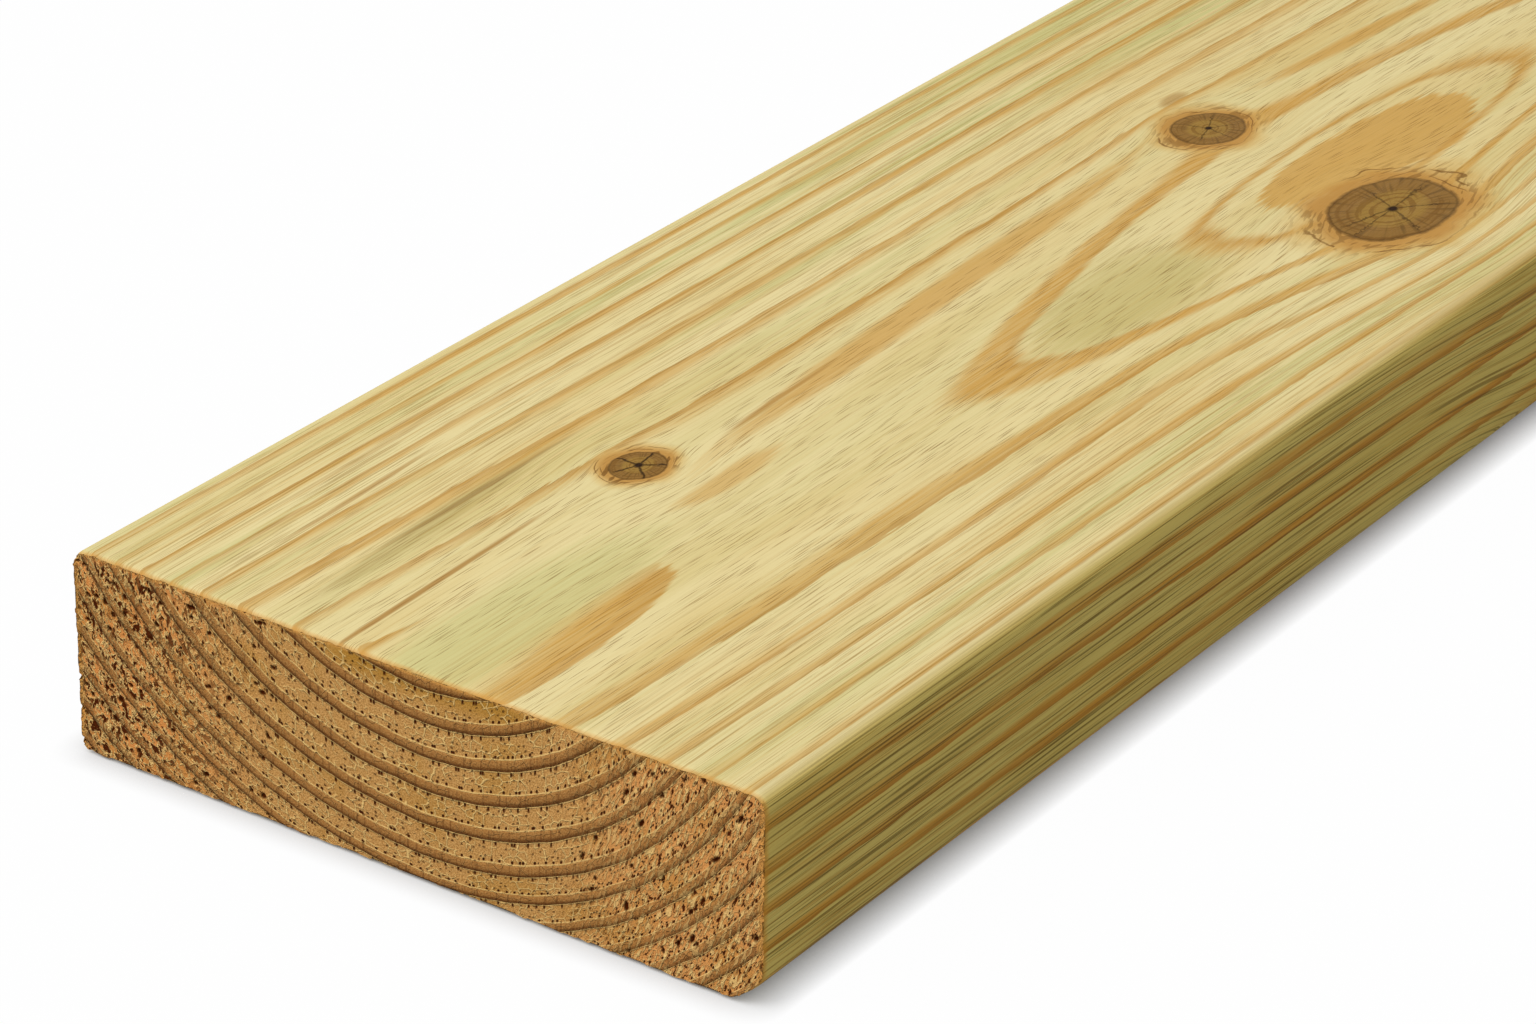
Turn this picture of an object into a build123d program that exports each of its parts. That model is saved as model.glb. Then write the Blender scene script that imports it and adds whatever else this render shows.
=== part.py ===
from build123d import *
import os

# One sawn and planed softwood plank, a single piece of stock.
# Frame: length along X, width along Y, thickness along Z, origin at the centre of the underside.

# Driving dimensions in millimetres
plank_length = 2438.0       # eight foot stock, cross-cut square at both ends
plank_width = 140.0         # dressed face of a nominal six inch board
plank_thickness = 38.0      # dressed edge of a nominal two inch board

top_arris_radius = 3.0      # easing that the planer leaves along both upper edges
bed_arris_radius = 2.0      # smaller easing along the far lower edge
chamfer_width = 6.5         # slope along the near lower edge, measured across the underside
chamfer_height = 6.0        # the same slope, measured up the edge
chamfer_blend_radius = 1.5  # softened line where that slope meets the underside and the edge


def nearest_corner(section, across, up):
    """The corner of a section that lies nearest to a place across and up from its base centre."""
    return section.vertices().sort_by_distance((across, up, 0))[0]


def plank_section():
    """Cross-section at the left end: a board with eased arrises and one sloped lower edge."""
    side = plank_width / 2
    with BuildSketch(Plane.YZ.offset(-plank_length / 2)) as section:
        with BuildLine():
            Polyline(
                (side, plank_thickness),
                (-side, plank_thickness),
                (-side, chamfer_height),
                (-side + chamfer_width, 0),
                (side, 0),
                close=True,
            )
        make_face()
        fillet(nearest_corner(section, -side, plank_thickness), top_arris_radius)
        fillet(nearest_corner(section, side, plank_thickness), top_arris_radius)
        fillet(nearest_corner(section, side, 0), bed_arris_radius)
        fillet(nearest_corner(section, -side, chamfer_height), chamfer_blend_radius)
        fillet(nearest_corner(section, -side + chamfer_width, 0), chamfer_blend_radius)
    return section.sketch


def plank_solid():
    """The section carried along the whole length, with both ends sawn square."""
    return extrude(plank_section(), amount=plank_length)


os.makedirs("parts", exist_ok=True)
export_step(plank_solid(), "parts/plank.step")
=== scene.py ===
import bmesh
import bpy
import numpy as np
from mathutils import Matrix, Vector


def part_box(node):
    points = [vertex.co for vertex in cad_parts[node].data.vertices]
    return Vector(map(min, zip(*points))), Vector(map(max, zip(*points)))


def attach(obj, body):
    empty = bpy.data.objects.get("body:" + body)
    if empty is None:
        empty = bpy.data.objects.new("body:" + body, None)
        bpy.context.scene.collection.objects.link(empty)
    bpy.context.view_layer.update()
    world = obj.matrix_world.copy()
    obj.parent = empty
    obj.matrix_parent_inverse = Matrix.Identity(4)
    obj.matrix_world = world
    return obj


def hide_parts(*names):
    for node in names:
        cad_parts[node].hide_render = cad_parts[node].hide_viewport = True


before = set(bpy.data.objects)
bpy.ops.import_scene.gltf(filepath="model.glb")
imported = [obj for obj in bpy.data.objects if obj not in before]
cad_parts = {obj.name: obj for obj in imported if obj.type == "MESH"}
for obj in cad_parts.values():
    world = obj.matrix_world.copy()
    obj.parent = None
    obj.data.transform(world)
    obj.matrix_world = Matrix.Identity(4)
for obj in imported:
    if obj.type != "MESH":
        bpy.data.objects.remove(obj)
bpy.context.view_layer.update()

mm = 0.001
touch = 0.01  # a point this near a face, in millimetres, is on it
plankLow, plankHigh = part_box("plank")
plankLong, plankWide, plankThick = [(high - low) / mm for low, high in zip(plankLow, plankHigh)]


# Sockets as numbers: sums on a Wire add Math nodes, and node() adds any other kind
class Wire:
    __array_ufunc__ = None  # a numpy number on the left leaves the sum to this class

    def __init__(self, tree, socket=None):
        self.tree = tree
        self.socket = socket

    def node(self, kind, settings, sockets, output=0):
        made = self.tree.nodes.new("ShaderNode" + kind)
        for name, value in settings.items():
            setattr(made, name, value)
        for name, value in sockets.items():
            if isinstance(value, Wire):
                self.tree.links.new(value.socket, made.inputs[name])
            else:
                made.inputs[name].default_value = value
        return Wire(self.tree, made.outputs[output] if made.outputs else None)

    def other(self, output):  # another output of the same node
        return Wire(self.tree, self.socket.node.outputs[output])

    def math(self, operation, *values):
        return self.node("Math", {"operation": operation}, dict(enumerate(values)))

    def mix(self, factor, first, second):
        return self.node("Mix", {"data_type": "RGBA"}, {0: factor, 6: first, 7: second}, 2)

    def __add__(self, value):
        return self.math("ADD", self, value)

    def __sub__(self, value):
        return self.math("SUBTRACT", self, value)

    def __rsub__(self, value):
        return self.math("SUBTRACT", value, self)

    def __mul__(self, value):
        return self.math("MULTIPLY", self, value)

    def __truediv__(self, value):
        return self.math("DIVIDE", self, value)

    def __rtruediv__(self, value):
        return self.math("DIVIDE", value, self)

    __radd__ = __add__
    __rmul__ = __mul__


mathNodes = dict(sqrt="SQRT", exp="EXPONENT", cos="COSINE", floor="FLOOR", abs="ABSOLUTE",
                 minimum="MINIMUM", maximum="MAXIMUM", arctan2="ARCTAN2", less="LESS_THAN")


# One formula for both: numpy arrays when the mesh is shaped, sockets when it is coloured
def calc(name, *values):
    wire = next((value for value in values if isinstance(value, Wire)), None)
    if wire is None:
        return getattr(np, name)(*values)
    return wire.math(mathNodes[name], *values)


def ease(low, high, value):  # 0 up to low, 1 from high, smooth between
    if isinstance(value, Wire):
        return value.node("MapRange", {"interpolation_type": "SMOOTHSTEP"}, {0: value, 1: low, 2: high})
    share = np.clip((value - low) / (high - low), 0, 1)
    return share * share * (3 - 2 * share)


def colour(red, green, blue):  # a screen colour, 0 to 255, as the linear one that sockets take
    def linear(value):
        value = value / 255
        return value / 12.92 if value < 0.04045 else ((value + 0.055) / 1.055) ** 2.4
    return (linear(red), linear(green), linear(blue), 1)


# The grain is one solid field in millimetres: v along from the near end, u across towards the
# chamfered edge, w up from the underside. The tree's pith wanders above the top face, and the
# wander dies away towards both edges, where the grain runs straight.
grain = dict(
    restAcross=4.4, acrossDrift=15.5, acrossReach=75, farStart=330, farSwing=7, farWave=870,
    restAbove=41.7, aboveMiddle=42.02, aboveSwing=3.34, aboveWave=366, waveStretch=1.2e-6,
    crestAt=95, crestRise=0.9, crestReach=38, bendCentre=16, bendLeft=26, bendRight=28,
    edgeLeft=1.045, edgeRight=1.0, endLeft=0.932, endRight=1.088,
    firstRing=44.74, ringStep=6.15, closeRings=74.6, closeGain=0.0479,
    turnFrom=85, turnAt=0.16, turnShift=0.667, turnPace=1.75, turnWiden=0.2, turnEarly=0.09, turnFade=0.07,
    lateFrom=0.62, lateRise=0.2, lateEnd=0.975,
)

# Places where the rings bulge round a branch, or crowd beside one
swells = [
    dict(along=-10, across=-39, long=90, wide=10, rise=1.9),
    dict(along=82, across=-9, long=24, wide=9, rise=1.2),
    dict(along=255, across=49, long=46, wide=13, rise=6.5),
    dict(along=168, across=41, long=48, wide=9, rise=-3.0),
    dict(along=268, across=-14, long=20, wide=8, rise=1.6),
    dict(along=690, across=-40, long=40, wide=12, rise=5),
    dict(along=1280, across=32, long=34, wide=11, rise=4),
    dict(along=1905, across=48, long=44, wide=13, rise=6),
]

# Knots are branches that start at the pith, so they lean on their way down through the plank
knots = [
    dict(along=80.5, across=-12.7, halfLong=5.6, halfWide=4.7, leanAlong=0.15, leanAcross=-0.45),
    dict(along=254.5, across=38, halfLong=16, halfWide=10.8, leanAlong=0.25, leanAcross=0.5),
    dict(along=267.5, across=-10.2, halfLong=8.6, halfWide=6.8, leanAlong=0.2, leanAcross=-0.7),
    dict(along=690, across=-34, halfLong=12, halfWide=8.5, leanAlong=0.3, leanAcross=-0.6),
    dict(along=1280, across=27, halfLong=8, halfWide=6.4, leanAlong=0.2, leanAcross=0.4),
    dict(along=1905, across=40, halfLong=14, halfWide=9.5, leanAlong=0.3, leanAcross=0.5),
]
knotFlow = dict(push=1.15, core=0.6, reach=4.4, farSpan=9, seedStep=7.3)


# Distance from the pith, and its parts across and up. On a sawn end the rings are drawn a little
# wider on the left and tighter on the right.
def ringsAt(u, v, w, onEnd):
    far = calc("maximum", v - grain["farStart"], 0)
    across = (grain["restAcross"] + grain["acrossDrift"] * (1 - calc("exp", v * (-1 / grain["acrossReach"])))
              + grain["farSwing"] * (calc("cos", far * (2 * np.pi / grain["farWave"])) - 1))
    crest = (v - grain["crestAt"]) * (1 / grain["crestReach"])
    wave = (v - grain["crestAt"]) * (2 * np.pi / grain["aboveWave"]) - far * far * grain["waveStretch"]
    above = (grain["aboveMiddle"] + grain["crestRise"] * calc("exp", -1 * (crest * crest))
             + grain["aboveSwing"] * calc("cos", wave))
    left = (calc("minimum", u, grain["bendCentre"]) - grain["bendCentre"]) * (1 / grain["bendLeft"])
    right = (calc("maximum", u, grain["bendCentre"]) - grain["bendCentre"]) * (1 / grain["bendRight"])
    left = left * left
    right = right * right
    centre = 1 / (1 + left * left + right * right)
    sideways = u - grain["restAcross"] - (across - grain["restAcross"]) * centre
    upward = plankThick - w + grain["restAbove"] + (above - grain["restAbove"]) * centre
    wide = (calc("maximum", sideways, 0) * grain["endRight" if onEnd else "edgeRight"]
            + calc("minimum", sideways, 0) * grain["endLeft" if onEnd else "edgeLeft"])
    radius = calc("sqrt", wide * wide + upward * upward)
    for swell in () if onEnd else swells:
        a = (v - swell["along"]) * (1 / swell["long"])
        b = (u - swell["across"]) * (1 / swell["wide"])
        radius = radius - swell["rise"] * calc("exp", -1 * (a * a + b * b))
    return radius, wide, upward


def ringCount(radius):
    close = calc("maximum", radius - grain["closeRings"], 0)
    return (radius - grain["firstRing"]) * (1 / grain["ringStep"]) + close * grain["closeGain"]


# Share of the way through a ring. Inside the innermost ring of the top face the order is turned
# round beyond the first stretch, so that the tongues there have their sharp side inward.
def ringShare(count, u, v):
    number = calc("floor", count)
    turned = grain["turnShift"] - count * grain["turnPace"]
    turnNumber = calc("floor", turned)
    isTurned = calc("less", count, grain["turnAt"]) * calc("less", grain["turnFrom"], v)
    share = count - number
    share = share + isTurned * (turned - turnNumber - share)
    innerRing = ease(-0.05, 0.05, count) * (1 - ease(0.95, 1.6, count)) * (1 - isTurned)
    start = (grain["lateFrom"] + innerRing * (0.1 - 0.2 * ease(0, 12, u))
             + isTurned * (turnNumber * grain["turnWiden"] - grain["turnEarly"]))
    rise = ease(0, 1, (share - start) * (1 / grain["lateRise"]))
    late = rise * (1 - ease(grain["lateEnd"] - isTurned * grain["turnFade"], 1, share))
    quiet = ease(-9, -7, u) * (1 - ease(9, 14, u)) * (1 - ease(70, 85, v))  # a plain place by the near end
    bold = calc("less", count, grain["turnAt"])
    return number, share, late * (1 - quiet), bold


# The nearest knot's own coordinates, and the flow of fibres across that goes round the knots
def knotsAt(u, v, w):
    flow, knotA, knotB, knotSpan, knotSeed = u, 0, 0, knotFlow["farSpan"], 0
    depth = plankThick - w
    for number, knot in enumerate(knots):
        a = (v - knot["along"] - depth * knot["leanAlong"]) * (1 / knot["halfLong"])
        gap = u - knot["across"] - depth * knot["leanAcross"]
        b = gap * (1 / knot["halfWide"])
        span = a * a + b * b
        flow = flow - gap * knotFlow["push"] / (span + knotFlow["core"])
        near = calc("less", span, knotFlow["reach"])
        knotA = near * a + knotA
        knotB = near * b + knotB
        knotSeed = near * (number * knotFlow["seedStep"]) + knotSeed
        knotSpan = calc("minimum", span, knotSpan)
    return flow, knotA, knotB, calc("sqrt", knotSpan), knotSeed


# Smooth random numbers on a lattice, for the mesh relief
def latticeNoise(x, y, seed):
    size = 256
    table = np.random.RandomState(seed).rand(size, size)
    column, row = np.floor(x).astype(int), np.floor(y).astype(int)
    across, up = ease(0, 1, x - column), ease(0, 1, y - row)

    def corner(dx, dy):
        return table[(column + dx) % size, (row + dy) % size]
    low = corner(0, 0) * (1 - across) + corner(1, 0) * across
    high = corner(0, 1) * (1 - across) + corner(1, 1) * across
    return low * (1 - up) + high * up


# The bake's own map: ends in a row below, then the near stretch wide, then the rest in two strips
bakeLayout = dict(
    endScale=3.5 / 1024, margin=5 / 1024, endRow=146 / 1024, nearEndAt=0.01, farEndAt=0.505,
    nearShare=0.475, nearLong=406,
)


def bakeBreaks():  # places along where the map is split, each with a row of edges
    nearLong = bakeLayout["nearLong"]
    return [nearLong, nearLong + (plankLong - nearLong) / 2]


# The plank's mesh: a box of quads, finer at its sawn ends and round the knots that show
plankShape = dict(
    cell=2.0, nearEndCuts=(2, 1), farEndCuts=(1,), fineEdge=1.0,
    firstStep=0.4, stepGain=0.3, nearStep=6.0, nearStretch=300, farStep=50.0,
    topArris=3.0, bedArris=2.0, chamferWide=6.5, chamferHigh=6.0, roundness=2.0, chamferRoundness=1.3,
    knotZone=2.2, seenKnots=3, knotCuts=2, topSkin=0.1,
)


def rowPlaces():
    places = [0.0]
    while places[-1] < plankLong / 2:
        limit = plankShape["nearStep"] if places[-1] < plankShape["nearStretch"] else plankShape["farStep"]
        places.append(places[-1] + min(limit, plankShape["firstStep"] + plankShape["stepGain"] * places[-1]))
    places[-1] = plankLong / 2
    far = [plankLong / 2]
    while far[-1] < plankLong:
        left = plankLong - far[-1]
        step = min(plankShape["farStep"], plankShape["firstStep"] + plankShape["stepGain"] * left)
        far.append(far[-1] + step)
    far[-1] = plankLong
    return sorted(places + far[1:] + bakeBreaks())


def boxMesh():
    shape = bmesh.new()
    cell = plankShape["cell"]
    upright = Matrix(((0, 0, 1, 0), (plankWide, 0, 0, 0), (0, plankThick, 0, plankThick / 2), (0, 0, 0, 1)))
    bmesh.ops.create_grid(shape, x_segments=round(plankWide / cell), y_segments=round(plankThick / cell),
                          size=0.5, matrix=upright)
    capFaces = shape.faces[:]
    rim = [edge for edge in shape.edges if edge.is_boundary]
    farCap = bmesh.ops.duplicate(shape, geom=capFaces)["geom"]
    farVerts = [item for item in farCap if isinstance(item, bmesh.types.BMVert)]
    bmesh.ops.translate(shape, verts=farVerts, vec=(plankLong, 0, 0))
    places = rowPlaces()
    for last, place in zip(places, places[1:]):
        grown = bmesh.ops.extrude_edge_only(shape, edges=rim)["geom"]
        verts = [item for item in grown if isinstance(item, bmesh.types.BMVert)]
        bmesh.ops.translate(shape, verts=verts, vec=(place - last, 0, 0))
        rim = [item for item in grown if isinstance(item, bmesh.types.BMEdge) and item.is_boundary]
    bmesh.ops.remove_doubles(shape, verts=shape.verts[:], dist=touch)
    return shape


def subdivide(shape, test, cuts):
    edges = [edge for edge in shape.edges if all(test(vert.co) for vert in edge.verts)]
    bmesh.ops.subdivide_edges(shape, edges=edges, cuts=cuts, use_grid_fill=True, use_single_edge=True)


def refine(shape):
    fine = plankShape["fineEdge"]
    for cuts in plankShape["nearEndCuts"]:
        subdivide(shape, lambda co: co.x < fine, cuts)
    for cuts in plankShape["farEndCuts"]:
        subdivide(shape, lambda co: co.x > plankLong - fine, cuts)
    for knot in knots[:plankShape["seenKnots"]]:
        reachLong = knot["halfLong"] * plankShape["knotZone"]
        reachWide = knot["halfWide"] * plankShape["knotZone"]
        for level in range(plankShape["knotCuts"]):
            subdivide(shape, lambda co: co.z > plankThick - plankShape["topSkin"]
                      and abs(co.x - knot["along"]) < reachLong
                      and abs(-co.y - knot["across"]) < reachWide, 1)


# Square corners of the section drawn in to rounds and to the softened chamfer
def easeArrises(places):
    corners = [
        (-1, 1, plankShape["topArris"], plankShape["topArris"], plankShape["roundness"]),
        (1, 1, plankShape["topArris"], plankShape["topArris"], plankShape["roundness"]),
        (1, 0, plankShape["bedArris"], plankShape["bedArris"], plankShape["roundness"]),
        (-1, 0, plankShape["chamferWide"], plankShape["chamferHigh"], plankShape["chamferRoundness"]),
    ]
    for side, upper, wide, high, power in corners:
        centreY = side * (plankWide / 2 - wide)
        centreZ = plankThick - high if upper else high
        a = np.maximum(side * (places[:, 1] - centreY) / wide, 0)
        b = np.maximum((1 if upper else -1) * (places[:, 2] - centreZ) / high, 0)
        inside = (a > 0) & (b > 0)
        scale = np.ones(len(places))
        scale[inside] = np.maximum(a, b)[inside] / (a[inside] ** power + b[inside] ** power) ** (1 / power)
        places[inside, 1] = centreY + (places[inside, 1] - centreY) * scale[inside]
        places[inside, 2] = centreZ + (places[inside, 2] - centreZ) * scale[inside]


# Sawn ends: latewood bands stand, earlywood between them is torn out in pits
sawnEnd = dict(
    ringShift=0.06, bandFrom=0.66, bandEdge=0.05, earlywoodDepth=0.10, fuzzDepth=0.10, pitDepth=0.55,
    leftPits=150, leftSpread=44, leftPitSize=0.26, rightPits=30, rightSpread=38, rightPitSize=0.24,
    ribLean=68, ribSway=12, fineFuzz=0.7, coarseFuzz=1.9, nearSeed=11, farSeed=47,
    ragged=0.7, raggedLeft=0.7, raggedReach=1.4, raggedFine=(0.9, 2.4), raggedCoarse=(2.6, 5),
)


def endPits(seed):
    random = np.random.RandomState(seed)
    pits = []
    spread, size = sawnEnd["leftSpread"], sawnEnd["leftPitSize"]
    for n in range(sawnEnd["leftPits"]):
        pits.append((-plankWide / 2 + spread * random.rand() ** 1.5, plankThick * random.rand(),
                     size + 0.26 * random.rand(), 1 + 0.7 * random.rand(), random.rand() * np.pi))
    spread, size = sawnEnd["rightSpread"], sawnEnd["rightPitSize"]
    for n in range(sawnEnd["rightPits"]):
        pits.append((plankWide / 2 - spread * random.rand() ** 1.3, plankThick * random.rand(),
                     size + 0.20 * random.rand(), 1.6 + 1.6 * random.rand(),
                     np.radians(sawnEnd["ribLean"] + sawnEnd["ribSway"] * random.randn())))
    return pits


def sawnDepth(u, v, w, seed):
    count = ringCount(ringsAt(u, v, w, True)[0]) + sawnEnd["ringShift"]
    share = count - np.floor(count)
    bandFrom = sawnEnd["bandFrom"]
    band = ease(bandFrom, bandFrom + sawnEnd["bandEdge"], share) * (1 - ease(0.97, 1, share))
    rough = 0.45 + 0.55 * ease(10, 45, np.abs(u - 6))
    fine, coarse = sawnEnd["fineFuzz"], sawnEnd["coarseFuzz"]
    fuzz = (latticeNoise(u / fine + 90, w / fine + 90, seed + 1) * 0.6
            + latticeNoise(u / coarse + 50, w / coarse + 50, seed + 2) * 0.4)
    pitAndShade = np.zeros(len(u))
    for pu, pw, size, stretch, turn in endPits(seed):
        du, dw = u - pu, w - pw
        along = (du * np.cos(turn) + dw * np.sin(turn)) / (size * stretch)
        aside = (dw * np.cos(turn) - du * np.sin(turn)) / size
        pitAndShade = np.maximum(pitAndShade, 1 - ease(0.35, 1.25, np.sqrt(along * along + aside * aside)))
    pitAndShade = pitAndShade * (1 - 0.85 * band)
    depth = sawnEnd["earlywoodDepth"] * (1 - band) + sawnEnd["fuzzDepth"] * fuzz * rough * (1 - 0.6 * band)
    return depth + sawnEnd["pitDepth"] * pitAndShade * rough, pitAndShade


# Planed faces: a little raised grain and a fine groove round each knot
planedFace = dict(earlywoodDepth=0.05, knotGroove=0.12, grooveAt=1.05, grooveWide=0.10)


def planedDepth(u, v, w):
    late = ringShare(ringCount(ringsAt(u, v, w, False)[0]), u, v)[2]
    span = knotsAt(u, v, w)[3]
    groove = np.exp(-((span - planedFace["grooveAt"]) / planedFace["grooveWide"]) ** 2)
    inKnot = 1 - ease(0.75, 1.0, span)
    return planedFace["earlywoodDepth"] * (1 - late) * (1 - inKnot) + planedFace["knotGroove"] * groove


def shapePlank(mesh):
    count = len(mesh.vertices)
    places = np.empty(count * 3)
    mesh.vertices.foreach_get("co", places)
    places = places.reshape(-1, 3)
    square = places.copy()
    onNear, onFar = square[:, 0] < touch, square[:, 0] > plankLong - touch
    easeArrises(places)
    pitAndShade = np.zeros(count)
    inward = np.zeros((count, 3))
    for cap, sense, seed in ((onNear, 1, sawnEnd["nearSeed"]), (onFar, -1, sawnEnd["farSeed"])):
        depth, capPit = sawnDepth(-places[cap, 1], places[cap, 0], places[cap, 2], seed)
        inward[cap, 0] += sense * depth
        pitAndShade[cap] = capPit
    # Long faces and the rim of each end move in across the section
    side = square[:, 1] <= -plankWide / 2 + touch, square[:, 1] >= plankWide / 2 - touch
    level = square[:, 2] <= touch, square[:, 2] >= plankThick - touch
    outY = side[1].astype(float) - side[0]
    outZ = level[1].astype(float) - level[0]
    length = np.maximum(np.hypot(outY, outZ), 1)
    shell = (outY != 0) | (outZ != 0)
    u, v, w = -places[:, 1], places[:, 0], places[:, 2]
    depth = np.zeros(count)
    depth[shell] = planedDepth(u[shell], v[shell], w[shell])
    endGap = np.minimum(v, plankLong - v)
    around = square[:, 1] + 1.7 * square[:, 2]
    fineAround, fineAlong = sawnEnd["raggedFine"]
    coarseAround, coarseAlong = sawnEnd["raggedCoarse"]
    torn = (latticeNoise(around / fineAround + 200, v / fineAlong + 20, 5) * 0.6
            + latticeNoise(around / coarseAround + 300, v / coarseAlong + 20, 6) * 0.4)
    ragged = sawnEnd["ragged"] + sawnEnd["raggedLeft"] * side[1]
    depth += ragged * torn * (1 - ease(0, sawnEnd["raggedReach"], endGap)) * shell
    inward[:, 1] -= depth * outY / length
    inward[:, 2] -= depth * outZ / length
    places += inward
    world = places * mm + np.array((plankLow.x, 0, plankLow.z))
    mesh.vertices.foreach_set("co", world.astype(np.float32).ravel())
    # The pits are kept on the mesh so the end's material can paint shade into them
    cavity = mesh.attributes.new("pitAndShade", "FLOAT", "POINT")
    cavity.data.foreach_set("value", pitAndShade.astype(np.float32))
    mesh.update()
    return square


def mapBake(mesh, square):
    layer = mesh.uv_layers.new(name="OFBake")
    corners = np.empty(len(mesh.loops), int)
    mesh.loops.foreach_get("vertex_index", corners)
    owner = np.repeat(np.arange(len(mesh.polygons)), [polygon.loop_total for polygon in mesh.polygons])
    middle = np.zeros((len(mesh.polygons), 3))
    np.add.at(middle, owner, square[corners])
    middle /= np.bincount(owner)[:, None]
    centre = middle[owner]
    x, y, z = square[corners].T
    halfWide = plankWide / 2
    margin = bakeLayout["margin"]
    # Distance round the section, by the side that a face is on
    around = np.where(centre[:, 2] < touch, halfWide - y, 0)
    around = np.where(centre[:, 1] < -halfWide + touch, plankWide + z, around)
    around = np.where(centre[:, 2] > plankThick - touch, plankWide + plankThick + halfWide + y, around)
    around = np.where(centre[:, 1] > halfWide - touch, 2 * plankWide + 2 * plankThick - z, around)
    around = around / (2 * plankWide + 2 * plankThick)
    nearLong, nearShare, endRow = bakeLayout["nearLong"], bakeLayout["nearShare"], bakeLayout["endRow"]
    restLong = (plankLong - nearLong) / 2
    inNear = centre[:, 0] < nearLong
    inLast = centre[:, 0] > nearLong + restLong
    across = np.where(inNear, margin + x / nearLong * (nearShare - 2 * margin),
                      nearShare + margin + (x - nearLong - np.where(inLast, restLong, 0)) / restLong
                      * (1 - nearShare - 2 * margin))
    tall = 1 - endRow
    half = tall / 2
    up = np.where(inNear, endRow + margin + around * (tall - 2 * margin),
                  endRow + np.where(inLast, half, 0) + margin + around * (half - 2 * margin))
    nearEnd, farEnd = centre[:, 0] < touch, centre[:, 0] > plankLong - touch
    for isEnd, offset in ((nearEnd, bakeLayout["nearEndAt"]), (farEnd, bakeLayout["farEndAt"])):
        across = np.where(isEnd, offset + (halfWide - y) * bakeLayout["endScale"], across)
        up = np.where(isEnd, margin + z * bakeLayout["endScale"], up)
    layer.data.foreach_set("uv", np.column_stack((across, up)).astype(np.float32).ravel())
    return centre, owner


def makePlank():
    shape = boxMesh()
    print("plank: box rows done,", len(shape.faces), "faces")
    refine(shape)
    bmesh.ops.recalc_face_normals(shape, faces=shape.faces[:])
    mesh = bpy.data.meshes.new("plank_wood")
    shape.to_mesh(mesh)
    shape.free()
    square = shapePlank(mesh)
    centre, owner = mapBake(mesh, square)
    first = np.concatenate(([0], np.flatnonzero(np.diff(owner)) + 1))
    isEnd = (centre[first, 0] < touch) | (centre[first, 0] > plankLong - touch)
    mesh.polygons.foreach_set("material_index", isEnd.astype(np.int32))
    mesh.polygons.foreach_set("use_smooth", np.ones(len(mesh.polygons), bool))
    plank = bpy.data.objects.new("plank_wood", mesh)
    bpy.context.scene.collection.objects.link(plank)
    triangles = sum(polygon.loop_total - 2 for polygon in mesh.polygons)
    print("plank: relief done,", triangles, "triangles")
    return plank


# Shaders
def startMaterial(name):
    material = bpy.data.materials.new(name)
    material.use_nodes = True
    material.node_tree.nodes.clear()
    return material, Wire(material.node_tree)


def woodPlace(start):
    split = start.node("SeparateXYZ", {}, {0: start.node("TexCoord", {}, {}, "Object")})
    v = (split - plankLow.x) * (1 / mm)
    u = split.other(1) * (-1 / mm)
    w = split.other(2) * (1 / mm)
    return u, v, w


def noise(start, x, y, detail=2.0, roughness=0.5):
    spot = start.node("CombineXYZ", {}, {0: x, 1: y})
    return start.node("TexNoise", {"noise_dimensions": "2D"},
                      {"Vector": spot, "Scale": 1, "Detail": detail, "Roughness": roughness})


def cells(start, x, y, feature="F1", random=1.0):  # distance to scattered points, or to the borders between
    spot = start.node("CombineXYZ", {}, {0: x, 1: y})
    return start.node("TexVoronoi", {"voronoi_dimensions": "2D", "feature": feature},
                      {"Vector": spot, "Scale": 1, "Randomness": random})


def marks(start, x, feature="F1"):  # the same along one line
    return start.node("TexVoronoi", {"voronoi_dimensions": "1D", "feature": feature},
                      {"W": x, "Scale": 1, "Randomness": 1})


def tinted(start, factor, base, tone):
    settings = {"data_type": "RGBA", "blend_type": "MULTIPLY"}
    return start.node("Mix", settings, {0: factor, 6: base, 7: tone}, 2)


def finishMaterial(start, look, base, roughness, height):
    bump = start.node("Bump", {}, {"Strength": look["bumpStrength"], "Distance": look["bumpReach"],
                                   "Height": height}, "Normal")
    shader = start.node("BsdfPrincipled", {}, {"Base Color": base, "Roughness": roughness, "Normal": bump,
                                               "Specular IOR Level": look["shine"]})
    start.node("OutputMaterial", {}, {"Surface": shader})


faceLook = dict(
    cream=colour(230, 213, 156), gold=colour(217, 189, 120), green=colour(199, 195, 129),
    orange=colour(205, 156, 74), edge=colour(168, 119, 50), fibre=colour(152, 120, 50),
    dash=colour(128, 86, 30), olive=colour(152, 134, 58),
    knotRim=colour(143, 106, 52), knotHeart=colour(160, 125, 58), knotLine=colour(40, 22, 4),
    knotHalo=colour(188, 136, 64), knotGlow=colour(213, 172, 96), knotTail=colour(118, 80, 30),
    sideShadeTint=colour(252, 239, 190), sideLine=colour(92, 74, 22),
    moss=colour(188, 173, 102), endGlow=colour(206, 148, 70),
    roughness=0.66, lateShine=0.08, shine=0.05, bumpStrength=0.35, bumpReach=0.0003,
)

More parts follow.
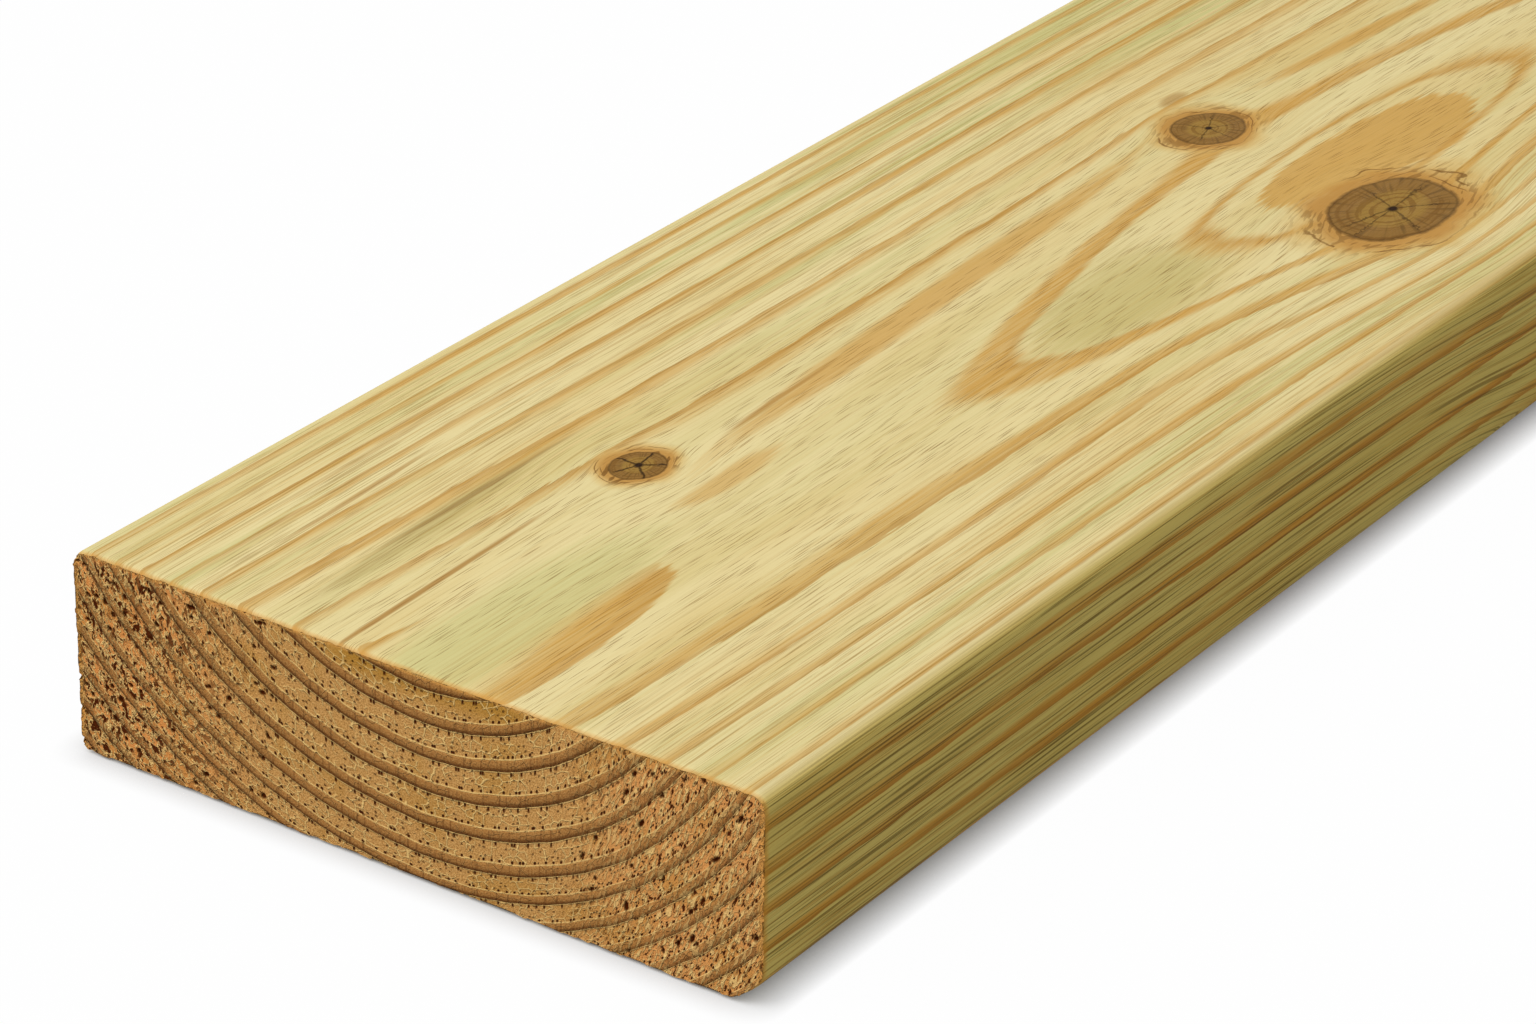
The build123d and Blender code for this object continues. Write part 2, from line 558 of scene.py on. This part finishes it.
# Soft coloured places on the top face, each an ellipse that may lie along a slope
patches = [
    dict(along=20, across=3, slope=0.0, long=52, wide=11, tone="green", strength=0.6, inner=0.2),
    dict(along=190, across=19, slope=0.0, long=38, wide=14, tone="moss", strength=0.6, inner=0.1),
    dict(along=277, across=22.5, slope=0.0, long=38, wide=10.5, tone="orange", strength=0.8, inner=0.8),
    dict(along=172, across=-8.6, slope=-0.042, long=96, wide=4.6, tone="orange", strength=0.75, inner=0.2),
    dict(along=118, across=-8.2, slope=-0.02, long=24, wide=0.8, tone="edge", strength=0.6, inner=0.1),
    dict(along=86, across=1.2, slope=0.03, long=18, wide=3.4, tone="orange", strength=0.6, inner=0.2),
    dict(along=24, across=-13.9, slope=-0.02, long=40, wide=0.9, tone="edge", strength=0.8, inner=0.1),
    dict(along=46, across=-27.0, slope=-0.02, long=46, wide=3.2, tone="olive", strength=0.4, inner=0.1),
    dict(along=56, across=-27.6, slope=0.035, long=34, wide=0.9, tone="dash", strength=0.5, inner=0.1),
    dict(along=44, across=-43.6, slope=-0.03, long=26, wide=0.8, tone="edge", strength=0.6, inner=0.1),
    dict(along=276, across=-18.8, slope=-0.1, long=6, wide=2.4, tone="edge", strength=0.6, inner=0.1),
    dict(along=328, across=-9, slope=0.06, long=46, wide=2.6, tone="orange", strength=0.8, inner=0.1),
    dict(along=320, across=-15, slope=0.03, long=44, wide=5, tone="gold", strength=0.6, inner=0.1),
]


# Each noise is drawn out along the grain: v over its length, lane over its width, in millimetres
def planedMaterial():
    material, start = startMaterial("treatedPinePlaned")
    u, v, w = woodPlace(start)
    flow, knotA, knotB, span, seed = knotsAt(u, v, w)
    topGap = plankThick - w
    edgeGap = plankWide / 2 - calc("abs", u)
    turnOver = (ease(-30, 30, u) * 1.6 - 0.8) * topGap  # takes the pattern on over the arrises
    lane = flow + turnOver
    flank = ease(20, 50, calc("abs", u - 6))
    side = 1 - ease(0.4, 2.5, edgeGap)
    arrisHighlight = (1 - ease(2.2, 3.2, edgeGap)) * ease(0.3, 1.2, edgeGap) * (1 - ease(2, 5, topGap))
    feather = noise(start, v / 15, lane / 0.8, 3)
    wander = noise(start, v / 160, lane / 12, 1)
    count = ringCount(ringsAt(u, v, w, False)[0]) - side * 0.22
    count = count + (feather - 0.5) * (0.07 + 0.08 * ease(0.1, 0.6, count)) + (wander - 0.5) * 0.14
    number, share, late, bold = ringShare(count, u, v)
    strong = calc("maximum", bold, ease(0.25, 0.7, noise(start, number * 3.71 + 2, v / 420, 0)))
    clear = calc("maximum", bold * 0.6, ease(40, 180, v) * 0.8 + side)
    near = 1 - ease(40, 160, v)
    weave = noise(start, v / 32, lane / 0.36 + 11, 3, 0.6)
    bundle = noise(start, v / 60, lane / 1.0 + 23, 2)
    edgeLine = ease(0.84, 0.93, share) * late
    # Earlywood between cream, gold and the green of the preservative
    tint = ease(0.40, 0.70, noise(start, v / 210 + 7, lane / 9 + 3, 1))
    warm = ease(0.35, 0.75, noise(start, v / 120 + 31, lane / 14 + 8, 2))
    base = start.mix(warm * 0.5, faceLook["cream"], faceLook["gold"])
    green = tint * (0.2 + flank * 0.4 + (1 - ease(-45, -15, u)) * 0.3) * ease(0.2, 0.6, bundle)
    base = start.mix(calc("maximum", green, side * 0.45), base, faceLook["green"])
    for patch in patches:
        a = (v - patch["along"]) * (1 / patch["long"])
        gap = flow + wander * 2 - 1 - patch["across"] - (v - patch["along"]) * patch["slope"]
        b = gap * (1 / patch["wide"])
        edge = a * a + b * b + (feather - 0.5) * 0.6
        cover = (1 - ease(patch["inner"], 1, edge)) * patch["strength"] * (1 - ease(0.5, 2, topGap))
        base = start.mix(cover, base, faceLook[patch["tone"]])
    lateShare = 0.32 + strong * 0.2 + ease(0.35, 0.65, bundle) * 0.2 + clear * 0.22 + (weave - 0.5) * 0.6
    base = start.mix(late * lateShare, base, faceLook["orange"])
    edgeLine = edgeLine * (0.14 + strong * 0.28 + side * 0.35) * (1 - bold * 0.5)
    base = start.mix(edgeLine, base, faceLook["edge"])
    # Fibres: a fine weave, long dark lines towards the edges, short flecks in the middle
    longLine = ease(0.56, 0.68, noise(start, v / 90, lane / 0.5 + 40, 2))
    thread = ease(0.54, 0.68, weave)
    base = start.mix(ease(0.5, 0.75, bundle) * (0.12 + flank * 0.14), base, faceLook["orange"])
    sideLine = ease(0.52, 0.66, noise(start, v / 70, lane / 0.42 + 70, 3, 0.6))
    base = start.mix(thread * (0.24 + flank * (0.14 + near * 0.16)), base, faceLook["fibre"])
    base = start.mix(longLine * (0.1 + flank * 0.24), base, faceLook["edge"])
    base = start.mix(sideLine * side * (0.75 - ease(80, 280, v) * 0.2), base, faceLook["sideLine"])
    fleck = cells(start, v / 19, lane / 0.42)
    spread = ease(0.3, 0.5, noise(start, v / 30, lane / 3, 1))
    dash = (1 - ease(0.08, 0.20, fleck)) * (1 - flank * 0.5) * spread
    base = start.mix(dash * 0.7 * (1 - side), base, faceLook["dash"])
    # Painted highlight: a pale line along both top arrises, where the round catches the light
    base = start.mix(arrisHighlight * 0.6, base, faceLook["cream"])
    base = start.mix((1 - ease(0.2, 1.3, v)) * 0.65, base, faceLook["endGlow"])
    # Knots: rim, paler heart, radial cracks, dark outline, warm halo, broken lines and tails round it
    grit = noise(start, v / 1.3, u / 1.3, 3)
    ripple = noise(start, v / 9 + 5, u / 9, 1)
    wobble = span + (grit - 0.5) * 0.05 + (ripple - 0.5) * 0.16
    outer = wobble + (ripple - 0.5) * 0.3
    aside = ease(0.25, 0.8, calc("abs", knotA))
    angle = calc("arctan2", knotB, knotA)
    core = 1 - ease(0.97, 1.03, wobble)
    heart = 1 - ease(0.5, 0.66, wobble)
    ray = noise(start, angle * 9 + seed, wobble * 1.2, 1)
    hoop = noise(start, wobble * 13, angle * 0.35 + seed, 1)
    knotTone = start.mix(heart * 0.8, faceLook["knotRim"], faceLook["knotHeart"])
    knotTone = start.mix(ease(0.45, 0.75, ray) * (0.4 - heart * 0.25), knotTone, faceLook["knotLine"])
    knotTone = start.mix(ease(0.5, 0.64, hoop) * 0.6, knotTone, faceLook["knotTail"])
    split = marks(start, angle * 0.9 + seed + (grit - 0.5) * 0.25, "DISTANCE_TO_EDGE")
    reach = 0.15 + 1.1 * noise(start, angle * 1.3 + seed, 3, 0)
    small = calc("less", seed, 0.5)  # the smallest knot's cracks are as wide as the others'
    crack = 1 - ease(0.006, 0.026, split * wobble * (1 - small * 0.6))
    crack = crack * (1 - ease(0, 0.3, wobble - reach - small * 0.3))
    pithStar = 1 - ease(0.06, 0.15, wobble * (1 - small * 0.4))
    crack = calc("maximum", crack * (0.6 + small * 0.25), pithStar)
    knotTone = start.mix(crack, knotTone, faceLook["knotLine"])
    lineGap = ease(0.45, 0.6, noise(start, angle * 1.4 + seed, wobble * 3, 1)) * (0.4 + aside * 0.6)
    innerRim = 1 - ease(0.008, 0.03, calc("abs", outer - 1.22))
    outerRim = 1 - ease(0.008, 0.03, calc("abs", outer - 1.4))
    tails = ease(0.54, 0.62, noise(start, v / 5, lane / 0.7, 1)) * (1 - ease(1.15, 1.9, wobble)) * aside
    base = start.mix((1 - ease(1.3, 1.9, outer)) * 0.7, base, faceLook["knotGlow"])
    base = start.mix((1 - ease(1.1, 1.56, outer)) * 0.85, base, faceLook["knotHalo"])
    base = start.mix(tails * (0.5 + small * 0.3), base, faceLook["knotTail"])
    base = start.mix(calc("minimum", innerRim + outerRim, 1) * lineGap * 0.75, base, faceLook["knotTail"])
    base = start.mix(core, base, knotTone)
    base = start.mix((1 - ease(0.015, 0.06, calc("abs", wobble - 1.0))) * 0.4, base, faceLook["knotLine"])
    # Painted shade: the narrow side faces are multiplied darker and yellower, the way a face turned from the
    # light looks
    base = tinted(start, side, base, faceLook["sideShadeTint"])
    height = noise(start, v / 24, (u + turnOver) / 0.4, 2)
    finishMaterial(start, faceLook, base, faceLook["roughness"] - late * faceLook["lateShine"], height)
    return material


endLook = dict(
    tan=colour(186, 130, 66), pale=colour(234, 182, 110), rust=colour(255, 152, 72),
    band=colour(172, 116, 58), bandDark=colour(132, 82, 34), line=colour(88, 46, 10),
    cream=colour(255, 214, 136), pitAndShade=colour(84, 32, 0), olive=colour(184, 132, 40),
    fringe=colour(240, 174, 88),
    roughness=0.8, lateShine=0.12, shine=0.05, bumpStrength=0.9, bumpReach=0.0008,
)


def sawnMaterial():
    material, start = startMaterial("treatedPineSawnEnd")
    u, v, w = woodPlace(start)
    radius, wide, upward = ringsAt(u, v, w, True)
    topGap = plankThick - w
    edgeGap = plankWide / 2 - calc("abs", u)
    warp = noise(start, u / 1.7, w / 1.7, 2) - 0.5
    count = ringCount(radius) + sawnEnd["ringShift"] + (noise(start, u / 7, w / 7, 2) - 0.5) * 0.10
    number = calc("floor", count)
    share = count - number
    step = grain["ringStep"]
    arc = calc("arctan2", wide, upward) * radius
    left = 1 - ease(-56, -24, u)
    right = ease(26, 50, u)
    middle = (1 - left) * (1 - right)
    bandFrom = sawnEnd["bandFrom"]
    band = ease(bandFrom, bandFrom + sawnEnd["bandEdge"], share) * (1 - ease(grain["lateEnd"], 1, share))
    innerRim = 1 - ease(0.06, 0.18, calc("abs", share - bandFrom) * step)
    outerRim = 1 - ease(0.06, 0.18, calc("abs", share - 0.015) * step)
    rim = calc("minimum", 1, innerRim + outerRim)
    # Rows of fine holes inside each band's inner edge, and slits that hang from its outer edge
    bead = marks(start, arc / 2.1 + number * 17.31) * 2.1
    beadDown = (share - (bandFrom - 0.06)) * step
    bead = 1 - ease(0.16, 0.34, calc("sqrt", bead * bead + beadDown * beadDown))
    slitAside = marks(start, arc / 2.7 + number * 7.77) * 2.7
    slit = (1 - ease(0.12, 0.28, slitAside)) * ease(0.01, 0.04, share) * (1 - ease(0.10, 0.18, share))
    tick = 1 - ease(0.08, 0.24, marks(start, arc / 2.2 + number * 3.3) * 2.2)
    tick = tick * ease(0.35, 0.6, noise(start, arc / 6, number * 2, 0))
    # Earlywood between the bands: pale joints like brickwork, and small holes in rows
    joint = cells(start, arc / 2.0 + warp * 0.5, count * 4 + warp * 0.5, "DISTANCE_TO_EDGE", 0.8)
    joint = (1 - ease(0.03, 0.11, joint)) * ease(0.42, 0.53, noise(start, u / 3 + 3, w / 3 + 11, 1))
    hollow = cells(start, arc / 1.5 + warp * 0.3, count * 5 + warp * 0.3, "F1", 0.75)
    hollow = (1 - ease(0.10, 0.20, hollow)) * (1 - middle * 0.35)
    hollow = hollow * ease(0.46, 0.56, noise(start, arc / 2.2, count * 3, 1))
    # Torn holes in clumps on the left, leaning ribs on the right
    tear = noise(start, arc / 1.5 + warp, count * 3.6 - warp, 2, 0.6)
    clump = ease(0.36, 0.56, noise(start, u / 4, w / 4 + 30, 1) + topGap * (0.10 / plankThick))
    torn = ease(0.55, 0.60, tear) * (0.3 + clump * 0.7)
    tornRim = ease(0.43, 0.49, tear) * (1 - ease(0.51, 0.55, tear)) * (0.4 + clump * 0.6)
    lean = np.radians(sawnEnd["ribLean"])
    along = u * np.cos(lean) + w * np.sin(lean)
    aside = w * np.cos(lean) - u * np.sin(lean)
    ribs = noise(start, along / 2.6 + warp * 0.3, aside / 0.62, 2)
    rib = ease(0.50, 0.62, ribs)
    gap = (1 - ease(0.32, 0.40, ribs)) * ease(0.42, 0.52, noise(start, along / 1.2 + 20, aside / 1.1, 1))
    speck = noise(start, u / 0.32, w / 0.32, 3, 0.7)
    patch = noise(start, u / 11 + 4, w / 11 + 9, 2)
    pitAndShade = start.node("Attribute", {"attribute_name": "pitAndShade"}, {}, "Fac")
    yellow = (1 - ease(1, 7, topGap)) * (1 - ease(14, 28, calc("abs", u - 4)))
    fringe = calc("maximum", 1 - ease(0.7, 1.7, edgeGap), 0.8 - ease(0.4, 1.1, topGap) * 0.8)
    base = start.mix(calc("maximum", ease(0.3, 0.7, speck), right * 0.8), endLook["tan"], endLook["pale"])
    base = start.mix(left * 0.5 + right * 0.4, base, endLook["rust"])
    base = start.mix(calc("maximum", ease(0.45, 0.75, patch) * 0.35, yellow * 0.8), base, endLook["olive"])
    # Pale joints of the earlywood, and painted highlight on the raised ribs and on the rims of torn holes
    paleAndHighlight = joint * (0.8 - right * 0.5) + rib * right * 0.75 + tornRim * left * 0.95
    base = start.mix(paleAndHighlight, base, endLook["cream"])
    bandTone = start.mix(ease(0.74, 0.95, share), endLook["band"], endLook["bandDark"])
    bandTone = start.mix(ease(0.35, 0.7, speck) * 0.3, bandTone, endLook["pale"])
    # Painted shade: dark ticks where small holes sit in the bands
    bandTone = start.mix(tick * 0.5, bandTone, endLook["pitAndShade"])
    base = start.mix(band * (0.92 - clump * left * 0.3 - right * 0.25), base, bandTone)
    # The darkest latewood at each band's outer edge, deepened as painted shade on the outer side of the
    # raised band
    bandLineAndShade = ease(0.86, 0.94, share) * band * (0.65 + left * 0.2 - right * 0.25)
    base = start.mix(bandLineAndShade, base, endLook["line"])
    # Painted highlight on the raised ribs and torn rims over the bands
    base = start.mix(band * (rib * right * 0.2 + tornRim * left * 0.3), base, endLook["cream"])
    # Pale lines along both edges of each band: partly pale earlywood, partly painted highlight on the raised
    # band edges
    base = start.mix(rim * 0.65, base, endLook["cream"])
    base = start.mix(fringe * 0.7, base, endLook["fringe"])
    # Painted shade: holes, pits, slits and gaps are darkened towards the pit colour, less at the fringe; the
    # same mask sinks them in the bump
    holeAndShade = ease(0.1, 0.7, pitAndShade)
    for opening in (slit * middle, bead, torn * left * (1 - band * 0.65), hollow * (1 - band),
                    gap * right * (1 - band * 0.75)):
        holeAndShade = calc("maximum", holeAndShade, opening)
    base = start.mix(holeAndShade * (1 - fringe * 0.6), base, endLook["pitAndShade"])
    height = (speck * 0.4 + band * 0.5 + rim * 0.4 + joint * 0.4 + rib * right * 0.8 + tornRim * left * 0.5
              - holeAndShade * 1.5)
    finishMaterial(start, endLook, base, endLook["roughness"] - band * endLook["lateShine"], height)
    return material


# Studio: white floor that keeps a soft shadow, one large key from above, a low fill from all round
studio = dict(
    floorSize=8.0, floorDrop=0.0004, floorBounce=0.42, floorGlow=0.985, floorShade=0.55,
    contactReach=0.006, contactSamples=8, skyLight=0.51,
    keyFrom=(-0.568, 0.303, 0.757), keyAim=0.15, keyDistance=3.2, keySize=2.2, keyPower=72.0,
)


def seenRays(start):  # 1 for rays from the camera, straight or by way of a mirror or glass
    rays = start.node("LightPath", {}, {}, "Is Camera Ray")
    mirrored = calc("maximum", rays.other("Is Glossy Ray"), rays.other("Is Transmission Ray"))
    return calc("maximum", rays, mirrored)


def makeFloor():
    shape = bmesh.new()
    bmesh.ops.create_grid(shape, x_segments=1, y_segments=1, size=studio["floorSize"] / 2)
    bmesh.ops.translate(shape, verts=shape.verts[:], vec=(0, 0, plankLow.z - studio["floorDrop"]))
    mesh = bpy.data.meshes.new("studio_floor")
    shape.to_mesh(mesh)
    shape.free()
    material, start = startMaterial("studioFloor")
    bounce = studio["floorBounce"]
    dull = start.node("BsdfDiffuse", {}, {"Color": (bounce, bounce, bounce, 1)})
    shade = studio["floorShade"]
    matte = start.node("BsdfDiffuse", {}, {"Color": (shade, shade, shade, 1)})
    glow = start.node("Emission", {}, {"Color": (1, 1, 1, 1), "Strength": 1.0})
    clearance = start.node("AmbientOcclusion", {"samples": studio["contactSamples"]},
                           {"Distance": studio["contactReach"]}, "AO")
    white = start.node("MixShader", {}, {0: clearance * studio["floorGlow"], 1: matte, 2: glow})
    surface = start.node("MixShader", {}, {0: seenRays(start), 1: dull, 2: white})
    start.node("OutputMaterial", {}, {"Surface": surface})
    mesh.materials.append(material)
    floor = bpy.data.objects.new("studio_floor", mesh)
    bpy.context.scene.collection.objects.link(floor)


def makeLights():
    aim = Vector((plankLow.x + studio["keyAim"], 0, plankHigh.z))
    lamp = bpy.data.lights.new("key", "AREA")
    lamp.shape = "DISK"
    lamp.size = studio["keySize"]
    lamp.energy = studio["keyPower"]
    key = bpy.data.objects.new("key", lamp)
    away = Vector(studio["keyFrom"]).normalized()
    key.location = aim + away * studio["keyDistance"]
    key.rotation_euler = away.to_track_quat("Z", "Y").to_euler()
    bpy.context.scene.collection.objects.link(key)
    world = bpy.data.worlds.new("studio")
    bpy.context.scene.world = world
    world.use_nodes = True
    world.node_tree.nodes.clear()
    start = Wire(world.node_tree)
    low = studio["skyLight"]
    strength = seenRays(start) * (1 - low) + low
    sky = start.node("Background", {}, {"Color": (1, 1, 1, 1), "Strength": strength})
    start.node("OutputWorld", {}, {"Surface": sky})


# Camera fitted to the photograph's straight edges, in metres from the near end's floor centre
view = dict(place=(-0.57272, -0.46119, 0.43922), azimuth=-34.38, elevation=26.93, roll=0.93, lens=123.6)


def makeCamera():
    camera = bpy.data.cameras.new("camera")
    camera.sensor_width = 36
    camera.lens = view["lens"]
    camera.clip_start = 0.01
    camera.clip_end = 50
    eye = bpy.data.objects.new("camera", camera)
    azimuth, elevation, roll = (np.radians(view[name]) for name in ("azimuth", "elevation", "roll"))
    # azimuth turns from straight along the plank towards its chamfered edge
    level = np.cos(elevation)
    ahead = Vector((np.cos(azimuth) * level, -np.sin(azimuth) * level, -np.sin(elevation)))
    right = Vector((-np.sin(azimuth), -np.cos(azimuth), 0))
    up = right.cross(ahead)
    tilted = right * np.cos(roll) + up * np.sin(roll)
    up = tilted.cross(ahead)
    eye.matrix_world = Matrix((
        (tilted.x, up.x, -ahead.x, plankLow.x + view["place"][0]),
        (tilted.y, up.y, -ahead.y, view["place"][1]),
        (tilted.z, up.z, -ahead.z, plankLow.z + view["place"][2]),
        (0, 0, 0, 1)))
    bpy.context.scene.collection.objects.link(eye)
    bpy.context.scene.camera = eye


plank = makePlank()
plank.data.materials.append(planedMaterial())
plank.data.materials.append(sawnMaterial())
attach(plank, "root")
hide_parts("plank")
print("plank: materials done")

makeFloor()
makeLights()
makeCamera()
bpy.context.scene.view_settings.view_transform = "Standard"
print("studio done")
